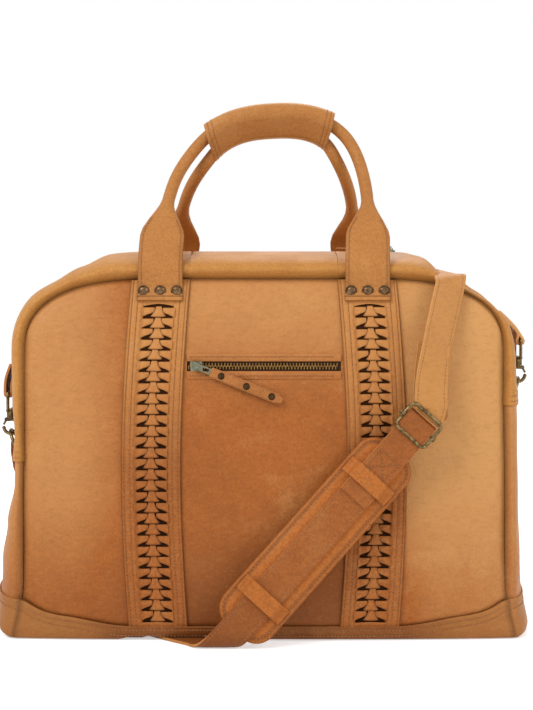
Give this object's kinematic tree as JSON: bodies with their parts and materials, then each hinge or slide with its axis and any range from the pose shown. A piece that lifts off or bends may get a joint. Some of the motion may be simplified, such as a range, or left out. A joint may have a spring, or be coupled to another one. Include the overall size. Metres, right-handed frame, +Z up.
{
  "type": "leather weekender bag",
  "caption": "Soft leather travel bag with braided upright bands, rolled carry handles in a grip wrap, zip mouth, front zip pocket and a padded shoulder strap on snap hooks.",
  "frame": {"origin": "centre of the flat base, on the floor", "axes": "+Z up, +X along the width to the right of someone facing the front, -Y out of the front panel"},
  "size_m": [0.543, 0.2977, 0.529],
  "materials": {
    "leather_body": "waxed full-grain, satin, mottled tan",
    "leather_top": "waxed full-grain, satin, pale tan",
    "leather_base": "waxed full-grain, satin, darker tan",
    "leather_band": "waxed full-grain, satin, stitched edges",
    "leather_braid": "slit and braided, waxed",
    "leather_handle": "waxed full-grain, rolled and stitched",
    "leather_pull": "waxed full-grain",
    "leather_strap": "waxed full-grain, pale cut edges",
    "leather_pad": "waxed full-grain, padded and stitched",
    "lining": "plain woven cotton",
    "fibreboard": "pressed fibre board",
    "zip_tape": "woven tape",
    "zip_metal": "dark antique brass",
    "slider_metal": "dull antique brass",
    "rivet_metal": "antique brass, domed",
    "brass": "antique brass, dull polish"
  },
  "bodies": {
    "bag": {"front_panel": "leather_body", "back_panel": "leather_body", "left_gusset": "leather_body", "right_gusset": "leather_body", "top_gusset_front": "leather_top", "top_gusset_back": "leather_top", "pocket_welts": "leather_top", "base_panel": "leather_base", "base_band": "leather_base", "front_left_band": "leather_band", "front_right_band": "leather_band", "back_bands": "leather_band", "front_left_braid": "leather_braid", "front_right_braid": "leather_braid", "back_braids": "leather_braid", "front_tabs": "leather_handle", "back_tabs": "leather_handle", "left_ring_tab": "leather_handle", "right_ring_tab": "leather_handle", "strap_long": "leather_strap", "strap_short": "leather_strap", "front_lining": "lining", "back_lining": "lining", "pocket_bag": "lining", "base_board": "fibreboard", "zip_end_tapes": "zip_tape", "pocket_tape": "zip_tape", "zip_end_teeth": "zip_metal", "pocket_teeth": "zip_metal", "front_rivets": "rivet_metal", "back_rivets": "rivet_metal", "left_ring": "brass", "right_ring": "brass", "left_hook": "brass", "right_hook": "brass", "left_swivel": "brass", "right_swivel": "brass", "buckle_frame": "brass", "buckle_bar": "brass"},
    "front_handle": {"front_handle": "leather_handle", "handle_wrap": "leather_handle"},
    "back_handle": {"back_handle": "leather_handle", "wrap_back": "leather_handle"},
    "mouth_front": {"front_flap": "leather_top", "flap_tape_front": "zip_tape", "flap_teeth_front": "zip_metal"},
    "mouth_back": {"back_flap": "leather_top", "flap_tape_back": "zip_tape", "flap_teeth_back": "zip_metal"},
    "main_slider": {"main_slider": "slider_metal"},
    "main_pull": {"main_pull_link": "slider_metal", "main_pull_tab": "leather_pull"},
    "pocket_slider": {"pocket_slider": "slider_metal"},
    "pocket_pull": {"pocket_pull_link": "slider_metal", "pocket_pull_tab": "leather_pull", "pocket_pull_rivets": "rivet_metal"},
    "pad": {"shoulder_pad": "leather_pad", "pad_bridges": "leather_strap"},
    "left_gate": {"left_hook_gate": "brass"},
    "right_gate": {"right_hook_gate": "brass"}
  },
  "joints": [
    {"name": "front_handle_fold", "type": "hinge", "parent": "bag", "child": "front_handle", "pos_m": [0, -0.10186, 0.35], "axis": [1, 0, 0], "range_deg": [0, 150]},
    {"name": "back_handle_fold", "type": "hinge", "parent": "bag", "child": "back_handle", "pos_m": [0, 0.10186, 0.35], "axis": [-1, 0, 0], "range_deg": [0, 150]},
    {"name": "mouth_front_fold", "type": "hinge", "parent": "bag", "child": "mouth_front", "pos_m": [0, -0.066, 0.3696], "axis": [1, 0, 0], "range_deg": [0, 75]},
    {"name": "mouth_back_fold", "type": "hinge", "parent": "bag", "child": "mouth_back", "pos_m": [0, 0.066, 0.3696], "axis": [-1, 0, 0], "range_deg": [0, 75]},
    {"name": "main_zip_slide", "type": "slide", "parent": "bag", "child": "main_slider", "axis": [-1, 0, 0], "range_m": [0, 0.258]},
    {"name": "main_pull_swing", "type": "hinge", "parent": "main_slider", "child": "main_pull", "pos_m": [0.129, 0, 0.378], "axis": [0, 0, 1], "range_deg": [-90, 90]},
    {"name": "pocket_zip_slide", "type": "slide", "parent": "bag", "child": "pocket_slider", "axis": [1, 0, 0], "range_m": [0, 0.13]},
    {"name": "pocket_pull_swing", "type": "hinge", "parent": "pocket_slider", "child": "pocket_pull", "pos_m": [-0.065, -0.11047, 0.262], "axis": [0, 0.9954, -0.0958], "range_deg": [-10, 60]},
    {"name": "pad_slide", "type": "slide", "parent": "bag", "child": "pad", "axis": [0.6702, 0.1084, 0.7342], "range_m": [0, 0.012]},
    {"name": "left_gate_press", "type": "hinge", "parent": "bag", "child": "left_gate", "pos_m": [-0.2668, 0, 0.20187], "axis": [0, -1, 0], "range_deg": [0, 15], "stiffness_Nm_per_rad": 0.02},
    {"name": "right_gate_press", "type": "hinge", "parent": "bag", "child": "right_gate", "pos_m": [0.2668, 0, 0.25587], "axis": [0, 1, 0], "range_deg": [0, 15], "stiffness_Nm_per_rad": 0.02}
  ],
  "couplings": [
    {"joint": "mouth_back_fold", "follows": "mouth_front_fold", "ratio": 1}
  ]
}
